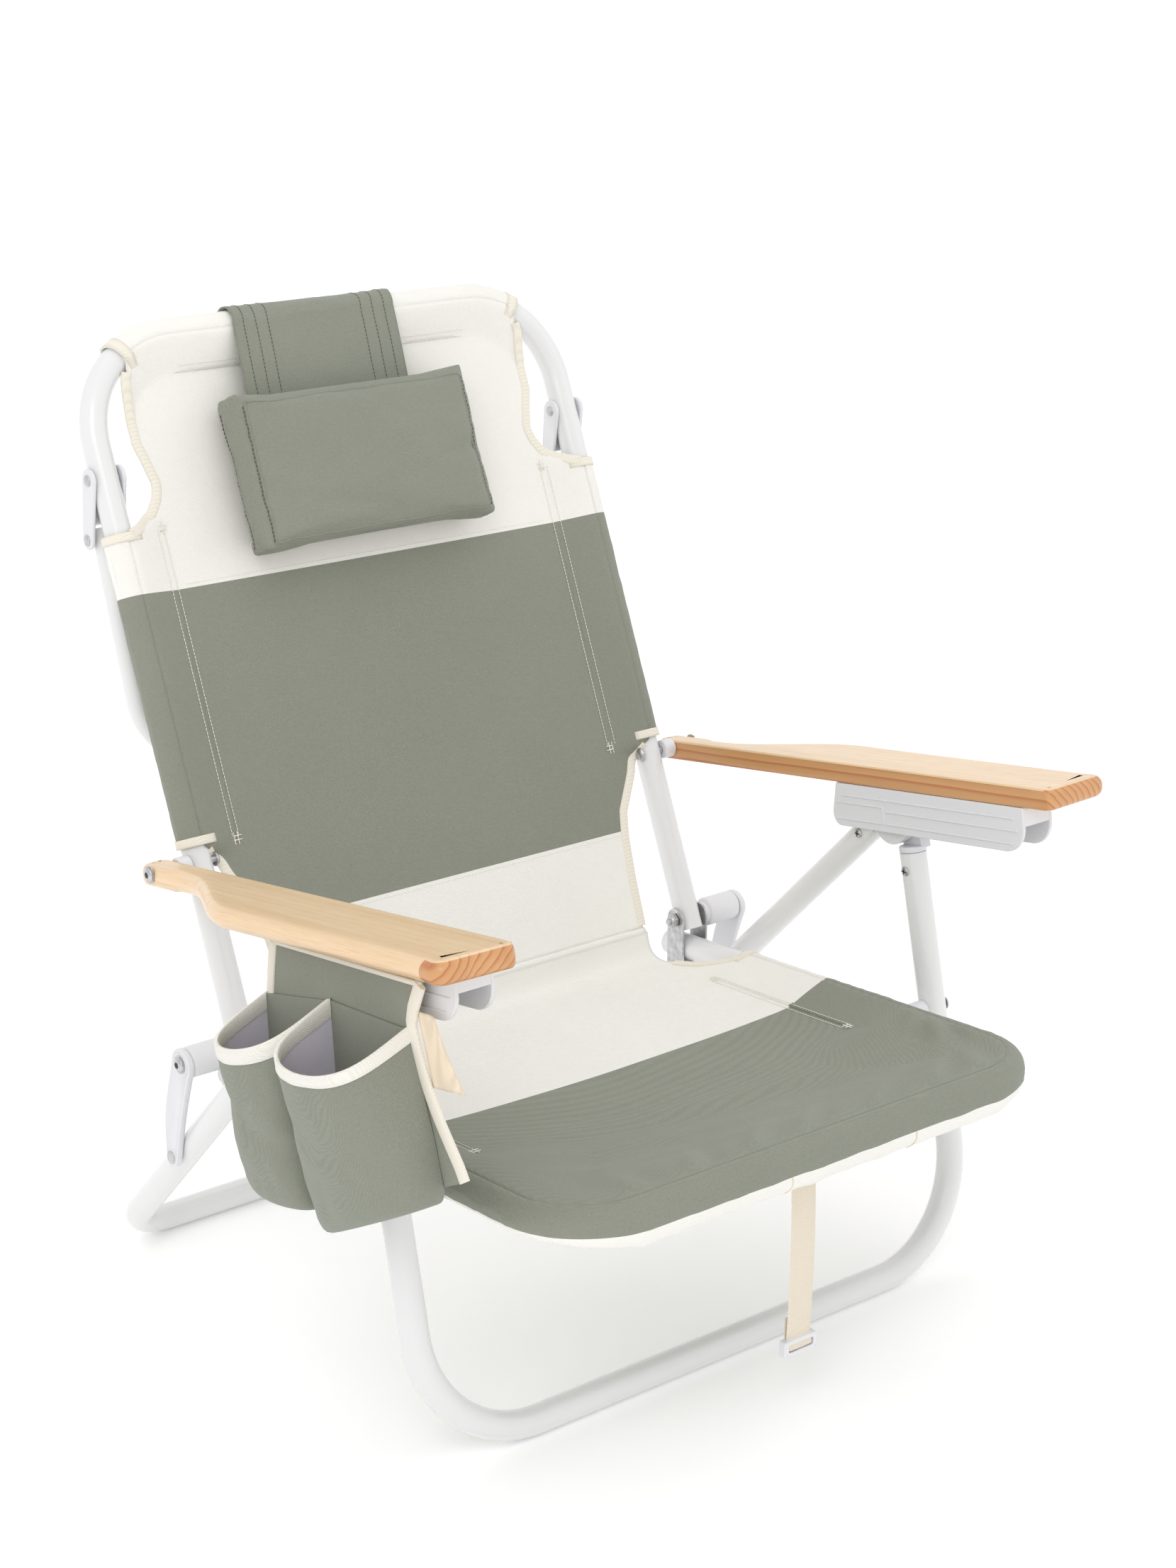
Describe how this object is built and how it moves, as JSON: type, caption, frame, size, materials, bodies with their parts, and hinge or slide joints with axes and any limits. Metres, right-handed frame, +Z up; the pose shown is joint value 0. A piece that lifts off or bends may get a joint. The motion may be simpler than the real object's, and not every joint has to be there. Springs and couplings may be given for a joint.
{
  "type": "folding beach chair",
  "caption": "Low folding beach chair: steel tube frame, reclining sling back with pillow, wooden armrests on notched racks, side cup pockets and a towel bar.",
  "frame": {"origin": "on the floor under the centre of the chair's box, strap left out", "axes": "+Z up, the chair faces -Y, +X is to the viewer's right from the front, which is the sitter's left side"},
  "size_m": [0.7065, 0.6994, 0.7899],
  "materials": {
    "white_paint": "satin powder coat",
    "white_plastic": "satin moulded plastic",
    "zinc_plate": "zinc plated steel",
    "light_wood": "clear varnish",
    "green_fabric": "plain woven polyester",
    "white_fabric": "plain woven polyester",
    "cream_webbing": "woven webbing"
  },
  "bodies": {
    "seat": {"seat_frame": "white_paint", "seat_end_cap_left": "white_plastic", "seat_end_cap_right": "white_plastic", "hinge_bracket_left": "zinc_plate", "hinge_bracket_right": "zinc_plate", "seat_fabric": "white_fabric", "seat_pivot_bolt_left": "zinc_plate", "seat_pivot_bolt_right": "zinc_plate", "seat_pivot_spacer_left": "white_plastic", "seat_pivot_spacer_right": "white_plastic", "closing_strap": "cream_webbing", "strap_buckle": "white_plastic"},
    "front_leg": {"front_leg": "white_paint", "front_plug_left": "white_plastic", "front_plug_right": "white_plastic", "front_plug_screw_left": "zinc_plate", "front_plug_screw_right": "zinc_plate", "leg_pin_left": "zinc_plate", "leg_pin_right": "zinc_plate"},
    "rear_leg": {"rear_leg": "white_paint", "rear_plug_left": "white_plastic", "rear_plug_right": "white_plastic", "rear_plug_screw_left": "zinc_plate", "rear_plug_screw_right": "zinc_plate"},
    "link_left": {"drop_link_left": "white_plastic", "link_rivet_left": "zinc_plate"},
    "link_right": {"drop_link_right": "white_plastic", "link_rivet_right": "zinc_plate"},
    "hinge_bolts": {"hinge_bolt_left": "zinc_plate", "hinge_bolt_right": "zinc_plate", "hinge_nut_left": "zinc_plate", "hinge_nut_right": "zinc_plate", "hub_spacer_left": "white_plastic", "hub_spacer_right": "white_plastic"},
    "back": {"back_frame": "white_paint", "back_fabric": "white_fabric", "back_end_plug_left": "white_plastic", "back_end_plug_right": "white_plastic", "towel_bracket_left": "white_plastic", "towel_bracket_right": "white_plastic", "towel_bracket_rivet_left": "zinc_plate", "towel_bracket_rivet_right": "zinc_plate", "towel_bar_rivet_left": "zinc_plate", "towel_bar_rivet_right": "zinc_plate"},
    "towel_bar": {"towel_bar": "white_paint"},
    "headrest": {"headrest_pillow": "green_fabric", "headrest_flap": "green_fabric"},
    "arm_bolt_left": {"arm_bolt_left": "zinc_plate", "arm_spacer_left": "white_plastic"},
    "arm_bolt_right": {"arm_bolt_right": "zinc_plate", "arm_spacer_right": "white_plastic"},
    "armrest_left": {"armrest_left": "light_wood", "arm_rack_left": "white_plastic", "organiser_panel": "green_fabric", "cup_pocket_front": "green_fabric", "cup_pocket_rear": "green_fabric", "label_tab": "cream_webbing"},
    "armrest_right": {"armrest_right": "light_wood", "arm_rack_right": "white_plastic"}
  },
  "joints": [
    {"name": "fold", "type": "hinge", "parent": "seat", "child": "front_leg", "pos_m": [0.0223, -0.1737, 0.2193], "axis": [1, 0, 0], "range_deg": [0, 90]},
    {"name": "rear_leg_fold", "type": "hinge", "parent": "front_leg", "child": "rear_leg", "pos_m": [0.0223, -0.1247, 0.376], "axis": [1, 0, 0], "range_deg": [-55.6, 0.5]},
    {"name": "link_left_fold", "type": "hinge", "parent": "seat", "child": "link_left", "pos_m": [0.0223, 0.1038, 0.226], "axis": [1, 0, 0], "range_deg": [-96.1, 0.5]},
    {"name": "link_right_fold", "type": "hinge", "parent": "seat", "child": "link_right", "pos_m": [0.0223, 0.1038, 0.226], "axis": [1, 0, 0], "range_deg": [-96.1, 0.5]},
    {"name": "hinge_fold", "type": "hinge", "parent": "seat", "child": "hinge_bolts", "pos_m": [0.0223, 0.1038, 0.226], "axis": [1, 0, 0], "range_deg": [-0.5, 98.1]},
    {"name": "recline", "type": "hinge", "parent": "hinge_bolts", "child": "back", "pos_m": [0.0223, 0.1038, 0.226], "axis": [1, 0, 0], "range_deg": [-55, 0]},
    {"name": "arm_bolt_left_turn", "type": "hinge", "parent": "back", "child": "arm_bolt_left", "pos_m": [0.0223, 0.1588, 0.3715], "axis": [1, 0, 0], "range_deg": [-0.5, 42.2]},
    {"name": "arm_left_fold", "type": "hinge", "parent": "arm_bolt_left", "child": "armrest_left", "pos_m": [0.0223, 0.1588, 0.3715], "axis": [1, 0, 0], "range_deg": [-98.1, 0.5]},
    {"name": "arm_bolt_right_turn", "type": "hinge", "parent": "back", "child": "arm_bolt_right", "pos_m": [0.0223, 0.1588, 0.3715], "axis": [1, 0, 0], "range_deg": [-0.5, 42.2]},
    {"name": "arm_right_fold", "type": "hinge", "parent": "arm_bolt_right", "child": "armrest_right", "pos_m": [0.0223, 0.1588, 0.3715], "axis": [1, 0, 0], "range_deg": [-98.1, 0.5]},
    {"name": "towel_bar_swing", "type": "hinge", "parent": "back", "child": "towel_bar", "pos_m": [0.0223, 0.29532, 0.61848], "axis": [1, 0, 0], "range_deg": [0, 90]},
    {"name": "headrest_lift", "type": "hinge", "parent": "back", "child": "headrest", "pos_m": [0.0223, 0.33301, 0.77313], "axis": [1, 0, 0], "range_deg": [-100, 0]}
  ],
  "couplings": [
    {"joint": "rear_leg_fold", "follows": "fold", "ratio": -0.617},
    {"joint": "link_left_fold", "follows": "fold", "ratio": -1.0667},
    {"joint": "link_right_fold", "follows": "fold", "ratio": -1.0667},
    {"joint": "hinge_fold", "follows": "fold", "ratio": 1.0889},
    {"joint": "arm_bolt_left_turn", "follows": "recline", "ratio": -0.765},
    {"joint": "arm_left_fold", "follows": "fold", "ratio": -1.0889},
    {"joint": "arm_bolt_right_turn", "follows": "recline", "ratio": -0.765},
    {"joint": "arm_right_fold", "follows": "fold", "ratio": -1.0889}
  ]
}
